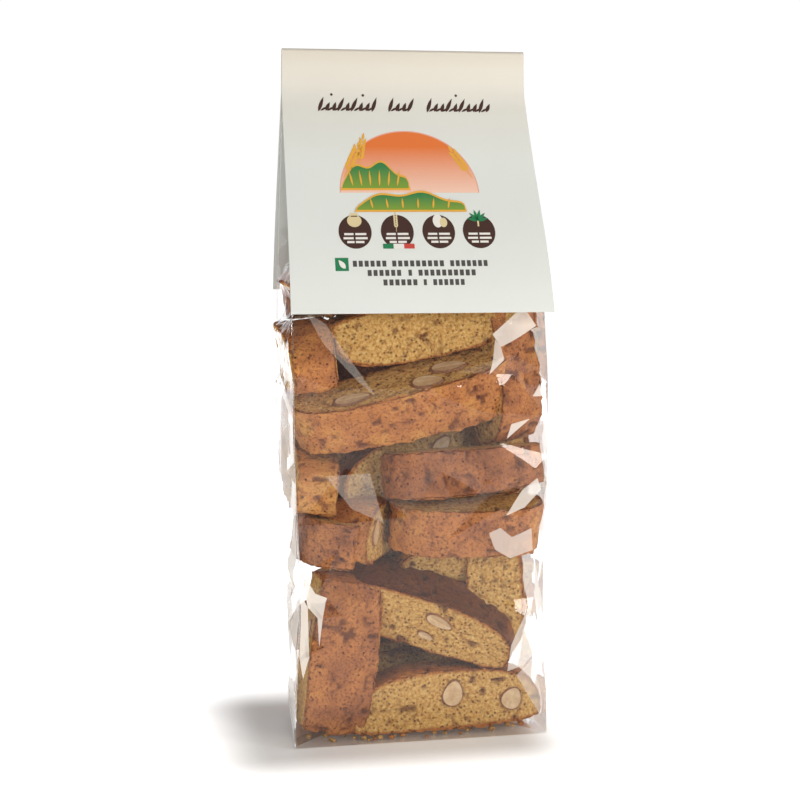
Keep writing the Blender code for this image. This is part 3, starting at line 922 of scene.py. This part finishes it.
# Painted highlights: flat white patches laid over the film where it would mirror the soft boxes, each
# as the panel, how bright, and the outline across and up the panel
PAINTED_HIGHLIGHT_PATCHES = [
    ("front", 0.62, [(30, 166), (44, 177), (49, 169), (42, 165), (33, 161)]),
    ("front", 0.55, [(31, 164), (33, 161), (34, 156), (28, 150)]),
    ("front", 0.6, [(35, 124), (37, 130), (45, 132)]),
    ("front", 0.6, [(46, 141), (49, 146), (51, 141)]),
    ("front", 0.55, [(35, 93), (42, 103), (48, 108), (50, 103), (43, 96)]),
    ("front", 0.42, [(28, 86), (33, 88), (38, 84), (47, 87), (48, 78), (38, 75), (31, 79)]),
    ("front", 0.45, [(36, 28), (38, 39), (46, 55), (50, 44), (48, 34), (43, 30)]),
    ("front", 0.3, [(40, 26), (48, 33), (51, 14), (50, 8)]),
    ("front", 0.72, [(-52, 74), (-46, 64), (-41, 62), (-43, 54), (-44, 42), (-45, 54), (-49, 58)]),
    ("front", 0.7, [(-52, 64), (-49, 58), (-48, 38), (-50, 29), (-52, 38)]),
    ("front", 0.14, [(-47, 176), (-39, 171), (-19, 142), (-27, 149), (-40, 163)]),
    ("front", 0.16, [(-40, 111), (-22, 112), (-17, 92), (-30, 98)]),
    ("left", 0.75, [(28, 96), (18, 90), (12, 74), (22, 64), (25, 78)]),
    ("left", 0.7, [(29, 62), (20, 58), (14, 40), (26, 30), (28, 44)]),
    ("left", 0.6, [(10, 66), (-2, 60), (2, 44), (9, 40)]),
    ("left", 0.4, [(26, 26), (2, 22), (-14, 4), (14, 3), (28, 10)]),
    ("left", 0.35, [(20, 132), (4, 126), (-4, 108), (16, 104)]),
    ("right", 0.14, [(-28, 116), (-8, 110), (-4, 92), (-26, 98)]),
    ("right", 0.12, [(-28, 30), (-6, 22), (4, 4), (-24, 5)]),
    ("back", 0.1, [(-30, 96), (-8, 88), (-16, 70), (-34, 78)]),
    ("back", 0.1, [(46, 60), (30, 52), (36, 34), (49, 40)]),
]
HIGHLIGHT_STEP = 2.2
HIGHLIGHT_GAP = 0.18  # between a painted highlight patch and the film under it


def make_painted_highlights(film):
    """The painted highlights: flat white patches laid close over the film."""
    tree = BVHTree.FromPolygons([vertex.co for vertex in film.data.vertices],
                                [polygon.vertices for polygon in film.data.polygons])
    halves = {"front": PANEL_HALF, "back": PANEL_HALF, "left": GUSSET_HALF, "right": GUSSET_HALF}
    points, faces, highlight_share = [], [], []
    for panel, patch_brightness, corners in PAINTED_HIGHLIGHT_PATCHES:
        corners = np.array(corners, float)
        low, high = corners.min(0), corners.max(0)
        rim = [first + (second - first) * part / 4
               for first, second in zip(corners, np.roll(corners, -1, axis=0)) for part in range(4)]
        fill = np.array([(x, z) for x in np.arange(low[0], high[0], HIGHLIGHT_STEP)
                         for z in np.arange(low[1], high[1], HIGHLIGHT_STEP)])
        fill = fill[inside_outline(fill, corners)] if len(fill) else fill
        gap = np.sqrt(((fill[:, None] - np.array(rim)) ** 2).sum(-1)).min(1) if len(fill) else np.zeros(0)
        flat = np.concatenate([np.array(rim), fill[gap > 0.9]])
        edges = [(at, (at + 1) % len(rim)) for at in range(len(rim))]
        flat, _, triangles, *_ = delaunay_2d_cdt([Vector(p) for p in flat], edges, [], 1, 1e-5)
        flat = np.array([tuple(p) for p in flat])
        outward = np.array(OUTWARD[panel], float)
        start = len(points)
        for place in panel_points(panel, flat[:, 0] / halves[panel], flat[:, 1]):
            origin = (place + SHIFT + outward * RAY_START) * MM
            hit = tree.ray_cast(Vector(origin), Vector(-outward), 40 * MM)[0]
            on_film = np.array(hit) / MM if hit is not None else place + SHIFT
            points.append(on_film + outward * HIGHLIGHT_GAP)
        faces += [[start + at for at in triangle] for triangle in triangles]
        highlight_share += [patch_brightness] * (len(points) - start)
    flaps = mesh_object("film_creases", np.array(points), faces, (PAINTED_HIGHLIGHT,), smooth=False)
    add_values(flaps, "highlight_share", highlight_share)
    return flaps


CRUMB_COUNT = 30


def make_crumbs():
    """Loose crumbs and broken bits lying on the bottom of the bag, mostly along the front."""
    points, faces, cut = [], [], []
    golden = (1 + math.sqrt(5)) / 2
    knobs = np.array([(0, a, b * golden) for a in (-1, 1) for b in (-1, 1)], float)
    knobs = np.concatenate([knobs, knobs[:, [2, 0, 1]], knobs[:, [1, 2, 0]]])
    hull = bmesh.new()
    for knob in knobs:
        hull.verts.new(knob)
    bmesh.ops.convex_hull(hull, input=hull.verts)
    shell = [[vertex.index for vertex in face.verts] for face in hull.faces]
    hull.free()
    for crumb in range(CRUMB_COUNT):
        spot = np.array([[crumb, 3, 7]])
        share, depth, size = (hashed(spot, seed)[0] for seed in (31, 32, 33))
        radius = 0.7 + 0.45 * (size + 1)
        centre = np.array([46 * share, -27.5 + 5 * (depth + 1), 0.75 * radius + 0.3])
        bumps = np.array([1 + 0.22 * hashed(np.array([[crumb, at, 1]]), 34)[0] for at in range(len(knobs))])
        faces += [[len(points) + at for at in face] for face in shell]
        points += list(centre + knobs / 1.9 * radius * bumps[:, None] * (1, 1, 0.75))
        cut += [1.0 if crumb % 3 else 0.0] * len(knobs)
    crumbs = mesh_object("crumbs", np.array(points) + SHIFT, faces, (BISCOTTO,))
    for name, values in (("cut", cut), ("edge", np.full(len(points), 4.0)),
                         ("browning_and_shade", np.zeros(len(points))), ("pit_shade", np.zeros(len(points)))):
        add_values(crumbs, name, values)
    return crumbs


film = make_film()
for piece in (*slices, film, make_painted_highlights(film), make_crumbs()):
    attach(piece, "root")
    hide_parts("bag")

# ---------------------------------------------------------------- the header card and its print
#
# The print is laid out on the front flap: x from the card's middle and z above the floor, as the flap
# hangs.

INK_LIFT = 0.05


def white_board():
    """Coated white paperboard: even, faintly mottled and almost matt, with a soft sheen, and painted shade
    that turns it darker and warmer towards its top.
    """
    made = new_material("white_board")
    tree = made.node_tree
    place = add(tree, "ShaderNodeTexCoord").outputs["Object"]
    fibres = add(tree, "ShaderNodeTexNoise", Vector=place, Scale=1 / (0.8 * MM), Detail=4.0)
    mottle = add(tree, "ShaderNodeTexNoise", Vector=place, Scale=1 / (30 * MM), Detail=2.0)
    base = mix(tree, mottle.outputs["Fac"], colour("#d9dbd6"), colour("#dde0da"))
    height = add(tree, "ShaderNodeSeparateXYZ", in0=place)
    # painted shade: the board turns darker and warmer towards its top
    painted_top_shade = add(tree, "ShaderNodeMapRange", Value=height.outputs["Z"], From_Min=235 * MM, From_Max=280 * MM)
    base = mix(tree, painted_top_shade.outputs[0], base, colour("#d3cbbd"))
    bump = add(tree, "ShaderNodeBump", Height=fibres.outputs["Fac"], Strength=0.12, Distance=0.1 * MM)
    shader = add(tree, "ShaderNodeBsdfPrincipled", Base_Color=base, Roughness=0.5, Normal=bump.outputs[0])
    shader.inputs["Specular IOR Level"].default_value = 0.3
    add(tree, "ShaderNodeOutputMaterial", Surface=shader.outputs[0])
    return made


def ink(name, low, high=None):
    """Printed ink, satin over the board. With two colours it fades from low to high by the stored share."""
    made = new_material(name)
    tree = made.node_tree
    share = add(tree, "ShaderNodeAttribute", {"attribute_name": "fade"}).outputs["Fac"]
    base = mix(tree, share, colour(low), colour(high)) if high else colour(low)
    shader = add(tree, "ShaderNodeBsdfPrincipled", Base_Color=base, Roughness=0.45)
    add(tree, "ShaderNodeOutputMaterial", Surface=shader.outputs[0])
    return made


def make_card():
    """The bent card, as packed but welded and smooth, with its sharp edges kept."""
    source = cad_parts["header_card"]
    points = [source.matrix_world @ vertex.co for vertex in source.data.vertices]
    keys = {}
    index = [keys.setdefault(tuple(round(c * 1e6) for c in point), len(keys)) for point in points]
    welded = np.zeros((len(keys), 3))
    welded[index] = np.array([tuple(point) for point in points]) / MM
    faces = [[index[at] for at in polygon.vertices] for polygon in source.data.polygons]
    whole = [face for face in faces if len(set(face)) == len(face)]
    card = mesh_object("printed_card", welded, whole, (white_board(),))
    card.data.set_sharp_from_angle(angle=math.radians(40))
    return card


class Print:
    """Flat printed shapes on the front flap, gathered into one piece. Each layer stands a little further
    off the board."""

    def __init__(self, card):
        mesh = card.data
        corners = [vertex.co for vertex in mesh.vertices]
        self.tree = BVHTree.FromPolygons(corners, [polygon.vertices[:] for polygon in mesh.polygons])
        low, high = (np.array(corner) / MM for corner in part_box("header_card"))
        self.middle = (low[0] + high[0]) / 2
        self.points, self.faces, self.slots, self.fade = [], [], [], []
        self.inks = []

    def shape(self, outline, finish, layer=1, fade=None):
        """Lays one closed outline on the card. fade gives the z where the ink's two colours are pure."""
        outline = np.array(outline, float)
        spread = np.ptp(outline, axis=0)
        step = 2.5
        grid = np.array([(x, z) for x in np.arange(outline[:, 0].min() + 1, outline[:, 0].max(), step)
                         for z in np.arange(outline[:, 1].min() + 1, outline[:, 1].max(), step)])
        if min(spread) > 2 * step and len(grid):
            gap = np.sqrt(((grid[:, None] - outline[None]) ** 2).sum(-1)).min(1)
            grid = grid[inside_outline(grid, outline) & (gap > 0.7)]
        else:
            grid = np.zeros((0, 2))
        count = len(outline)
        edges = [(at, (at + 1) % count) for at in range(count)]
        joined = [Vector(place) for place in np.concatenate([outline, grid])]
        flat, _, faces, *_ = delaunay_2d_cdt(joined, edges, [], 1, 1e-6)
        if finish not in self.inks:
            self.inks.append(finish)
        start = len(self.points)
        for x, z in flat:
            hit = self.tree.ray_cast(Vector(((x + self.middle) * MM, -0.1, z * MM)), Vector((0, 1, 0)))[0]
            self.points.append((x + self.middle, hit.y / MM - INK_LIFT * layer, z))
            self.fade.append(0.0 if fade is None else np.clip((z - fade[0]) / (fade[1] - fade[0]), 0, 1))
        for face in faces:
            self.faces.append([start + at for at in face])
            self.slots.append(self.inks.index(finish))

    def bar(self, left, right, low, high, finish, layer=1):
        """A plain rectangle."""
        self.shape([(left, low), (right, low), (right, high), (left, high)], finish, layer)

    def disc(self, x, z, radius, finish, layer=1, squash=1.0, turns=36):
        """A round, or an oval where squash isn't 1."""
        angle = np.linspace(0, 2 * np.pi, turns, endpoint=False)
        rim = np.stack([x + radius * np.cos(angle), z + radius * squash * np.sin(angle)], -1)
        self.shape(rim, finish, layer)

    def dab(self, x, z, length, width, tilt, finish, layer=1):
        """A pointed brush dab or grain, tilted from upright."""
        share = np.linspace(0, 1, 9)
        half = width / 2 * np.sin(np.pi * share**0.8)
        along = (share - 0.5) * length
        local = np.concatenate([np.stack([half, along], -1), np.stack([-half[-2:0:-1], along[-2:0:-1]], -1)])
        spin = math.radians(tilt)
        turn = np.array([[math.cos(spin), -math.sin(spin)], [math.sin(spin), math.cos(spin)]])
        self.shape(local @ turn.T + (x, z), finish, layer)

    def ear(self, x, z, size, tilt, finish, layer=1):
        """An ear of wheat: pairs of grains up a short stalk."""
        spin = math.radians(tilt)
        along, over = np.array([-math.sin(spin), math.cos(spin)]), np.array([math.cos(spin), math.sin(spin)])
        for pair in range(5):
            for side in (-1, 1):
                at = np.array([x, z]) + along * size * (0.18 * pair) + over * side * size * 0.09
                self.dab(*at, size * 0.30, size * 0.13, tilt - side * 24, finish, layer)
        top = np.array([x, z]) + along * size * 0.92
        self.dab(*top, size * 0.32, size * 0.12, tilt, finish, layer)
        stalk = np.array([x, z]) - along * size * 0.25
        self.dab(*stalk, size * 0.55, size * 0.04, tilt, finish, layer)

    def finish(self):
        """Makes the piece, with one material slot for each ink."""
        made = mesh_object("card_print", self.points, self.faces, self.inks)
        made.data.polygons.foreach_set("material_index", self.slots)
        add_values(made, "fade", self.fade)
        return made


def print_flap(card):
    """A brushed flourish, a sun over green fields, four round badges and three greeked lines."""
    brown, grey = ink("dark_brown_ink", "#40241c"), ink("dark_grey_ink", "#4b4743")
    pale, cream = ink("unprinted_board", "#e6e2da"), ink("cream_ink", "#d9c79a")
    green, leaf = ink("green_ink", "#1f7a4c"), ink("yellow_green_ink", "#7d9a35", "#2c7a45")
    gold, red = ink("gold_ink", "#e3a73c"), ink("red_ink", "#c4453a")
    sun, blush = ink("sun_ink", "#efc9b4", "#dd7434"), ink("blush_ink", "#e0a08c")
    flap = Print(card)

    # the flourish: leaning brush dabs in three runs, tied by thin swashes
    pitch = 2.75
    for first, last in ((-36, -12), (-7, 3), (9, 35)):
        for at, x in enumerate(np.arange(first, last, pitch)):
            tall = 6.6 if at % 5 in (0, 3) else 4.0
            flap.dab(x + 0.9, 257.3 + (tall - 4) * 0.35, tall, 1.5, -22 - 6 * (at % 2), brown)
            if x + pitch < last:
                flap.dab(x + 2.1, 256.4, 3.6, 0.85, -62, brown, 2)
    for x, z in ((-30.5, 262.2), (-17.5, 262.0), (21.5, 262.3)):
        flap.disc(x, z, 0.55, brown, turns=12)

    # the sun, fading down into the board, with a thin blush ring
    middle, low, radius, rise = -1.6, 222.4, 28.0, 24.6
    arc = np.linspace(0, np.pi, 61)
    dome = np.stack([middle + radius * np.cos(arc), low + rise * np.sin(arc)], -1)
    ring = np.stack([middle + (radius + 0.45) * np.cos(arc), low + (rise + 0.45) * np.sin(arc)], -1)
    flap.shape(np.concatenate([ring, dome[::-1]]), blush)
    flap.shape(dome, sun, fade=(low - 1, low + rise * 0.75))
    flap.ear(-25.5, 233, 11, -28, gold, 3)
    flap.ear(22, 232.5, 10, 34, gold, 3)
    flap.ear(-20.5, 237, 9, -12, gold, 3)

    # two rolling fields with gold edges and furrows
    fields = ((-29, -2, 224.2, 13, leaf, 3), (-24, 20, 215.6, 8.6, leaf, 6))
    for left, right, base, crest, finish, layer in fields:
        span = np.linspace(0, 1, 41)
        hump = base + crest * (0.62 * np.sin(np.pi * span) ** 0.6 + 0.2 * np.sin(2.4 * np.pi * span) ** 2)
        x = left + (right - left) * span
        ground = (base, base + crest * 0.7)
        for trim, paint, above, fade in ((0.8, gold, 0, None), (0, finish, 1, ground)):
            top = np.stack([x, hump + trim], -1)
            foot = [(right + trim, base - trim), (left - trim, base - trim)]
            flap.shape(np.concatenate([top, foot]), paint, layer + above, fade=fade)
        for furrow in range(1, 7):
            at = left + (right - left) * furrow / 7
            tall = crest * 0.5
            flap.dab(at, base + tall * 0.62, tall, 0.8, 16 - 5 * furrow, gold, layer + 2)

    # the badges
    for at, x in enumerate((-25.2, -8.3, 8.4, 24.8)):
        z = 207.0
        flap.disc(x, z, 6.6, brown)
        for half, drop in ((4.4, 0.9), (4.8, 2.5), (3.4, 4.0)):
            margin, line = x - half, z - drop
            for begin, end in ((0, 0.42), (0.5, 1.0)):
                left, right = margin + 2 * half * begin, margin + 2 * half * end
                flap.bar(left, right, line - 0.42, line + 0.42, pale, 2)
        if at == 0:  # a flour sack
            flap.disc(x, z + 4.3, 2.9, cream, 3, squash=0.85)
            flap.bar(x - 1.5, x + 1.5, z + 6.2, z + 7.4, cream, 3)
            flap.bar(x - 1.3, x + 1.3, z + 5.9, z + 6.3, brown, 4)
        elif at == 1:
            flap.ear(x - 0.3, z + 2.4, 5.2, 0, cream, 3)
            for part, stripe in enumerate((green, pale, red)):
                flap.bar(x - 6.2 + 4.2 * part, x - 2.0 + 4.2 * part, z - 6.6, z - 4.7, stripe, 3)
        elif at == 2:  # an egg
            flap.disc(x, z + 4.2, 2.0, pale, 3, squash=1.3)
            flap.disc(x + 2.3, z + 3.6, 1.5, cream, 4, squash=1.25)
        else:  # a fan of leaves
            for tilt in (-80, -48, -16, 16, 48, 80):
                spin = math.radians(tilt)
                flap.dab(x - 2.1 * math.sin(spin), z + 4.4 + 2.1 * math.cos(spin), 4.6, 1.3, tilt, green, 3)
            flap.bar(x - 0.35, x + 0.35, z + 2.0, z + 4.6, cream, 3)

    # a green leaf mark and three greeked lines of text
    flap.bar(-34.0, -28.7, 191.8, 196.9, green)
    flap.dab(-31.3, 194.4, 4.2, 2.0, 38, pale, 2)
    words = ((194.6, ((-27.0, -13.0), (-11.4, 10.0), (11.8, 27.5))),
             (191.0, ((-21.4, -7.4), (-5.2, -3.2), (-1.2, 22.4))),
             (187.3, ((-15.4, -1.2), (0.6, 2.4), (4.4, 17.6))))
    for z, runs in words:
        for left, right in runs:
            count = max(1, round((right - left) / 2.3))
            for letter in range(count):
                start = left + (right - left) * letter / count
                end = start + (right - left) / count * 0.68
                flap.bar(start, end, z - 1.15, z + 1.15, grey)
    return flap.finish()


card = make_card()
card_print = print_flap(card)
for piece in (card, card_print):
    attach(piece, "root")
    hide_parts("header_card")

# ---------------------------------------------------------------- the room, the lights and the camera


def soft_light(name, azimuth, elevation, distance, size, power, tint):
    """A soft box aimed at the bag. Azimuth 0 is the front, and a positive one is to the right."""
    data = bpy.data.lights.new(name, "AREA")
    data.shape = "RECTANGLE"
    data.size, data.size_y = size
    data.energy = power
    data.color = colour(tint)[:3]
    made = bpy.data.objects.new(name, data)
    bpy.context.scene.collection.objects.link(made)
    aim_at(made, azimuth, elevation, distance)
    return made


def aim_at(made, azimuth, elevation, distance, across=0.0, up=0.0):
    """Places a light or camera around the bag's middle and turns it to face there."""
    turn, tilt = math.radians(azimuth), math.radians(elevation)
    back = Vector((math.sin(turn) * math.cos(tilt), -math.cos(turn) * math.cos(tilt), math.sin(tilt)))
    middle = Vector(SHIFT * MM) + Vector((0, 0, BAG_TOP / 2 * MM))
    target = middle + Vector((math.cos(turn), math.sin(turn), 0)) * across + Vector((0, 0, up))
    made.location = target + back * distance
    made.rotation_euler = back.to_track_quat("Z", "Y").to_euler()


def white_floor():
    """A matt white table with painted light: it glows, faintly next to the bag and strongly further off,
    so that it runs into the white behind it and the real shadow shows only close to the bag."""
    made = new_material("backlit_white_acrylic")
    tree = made.node_tree
    place = add(tree, "ShaderNodeNewGeometry").outputs["Position"]
    # painted light: the floor's glow grows with distance from the bag, its dim middle set off towards the
    # left and front
    shade = add(tree, "ShaderNodeVectorMath", {"operation": "ADD"}, in0=place, in1=(14 * MM, 8 * MM, 0))
    flat = add(tree, "ShaderNodeVectorMath", {"operation": "ABSOLUTE"}, in0=shade.outputs[0])
    past = add(tree, "ShaderNodeVectorMath", {"operation": "SUBTRACT"}, in0=flat.outputs[0],
               in1=((PANEL_HALF - 4) * MM, GUSSET_HALF * MM, 0))
    beyond = add(tree, "ShaderNodeVectorMath", {"operation": "MAXIMUM"}, in0=past.outputs[0], in1=(0, 0, 0))
    away = add(tree, "ShaderNodeVectorMath", {"operation": "LENGTH"}, in0=beyond.outputs[0])
    painted_glow = add(tree, "ShaderNodeMapRange", {"interpolation_type": "SMOOTHSTEP"}, Value=away.outputs["Value"],
               From_Min=0.0, From_Max=0.035, To_Min=0.05, To_Max=0.86)
    shader = add(tree, "ShaderNodeBsdfPrincipled", Base_Color=colour("#f6f4f1"), Roughness=0.9,
                 Emission_Color=(1, 1, 1, 1), Emission_Strength=painted_glow.outputs[0])
    add(tree, "ShaderNodeOutputMaterial", Surface=shader.outputs[0])
    size = 6000
    return mesh_object("floor", [(-size, -size, 0), (size, -size, 0), (size, size, 0), (-size, size, 0)],
                       [(0, 1, 2, 3)], (made,), smooth=False)


ROOM_LIGHT = 0.24

white_floor()
soft_light("key_soft_box", 31, 15, 1.0, (0.17, 0.28), 2.8, "#fffaf2")
soft_light("side_strip_box", 54, 24, 1.0, (0.12, 0.34), 2.1, "#fffdf8")
soft_light("fill_soft_box", -38, 14, 1.0, (0.12, 0.28), 1.4, "#f8faff")
soft_light("top_soft_box", 10, 78, 1.3, (0.7, 0.7), 0.5, "#ffffff")
backdrop = soft_light("lit_backdrop", 180, 8, 0.9, (1.3, 0.9), 3.2, "#f8faff")
backdrop.visible_camera = False

world = bpy.data.worlds.new("white_room")
bpy.context.scene.world = world
world.use_nodes = True
world.node_tree.nodes.clear()
seen = add(world.node_tree, "ShaderNodeLightPath").outputs["Is Camera Ray"]
strength = add(world.node_tree, "ShaderNodeMapRange", Value=seen, To_Min=ROOM_LIGHT, To_Max=1.02)
room = add(world.node_tree, "ShaderNodeBackground", Color=(1, 1, 1, 1), Strength=strength.outputs[0])
add(world.node_tree, "ShaderNodeOutputWorld", Surface=room.outputs[0])
bpy.context.scene.view_settings.view_transform = "Standard"

camera = bpy.data.objects.new("camera", bpy.data.cameras.new("camera"))
bpy.context.scene.collection.objects.link(camera)
camera.data.lens = 72
camera.data.clip_end = 20
aim_at(camera, -10.5, 7.25, 0.666, across=-3.6 * MM, up=(140 - BAG_TOP / 2 - 3.15) * MM)
bpy.context.scene.camera = camera
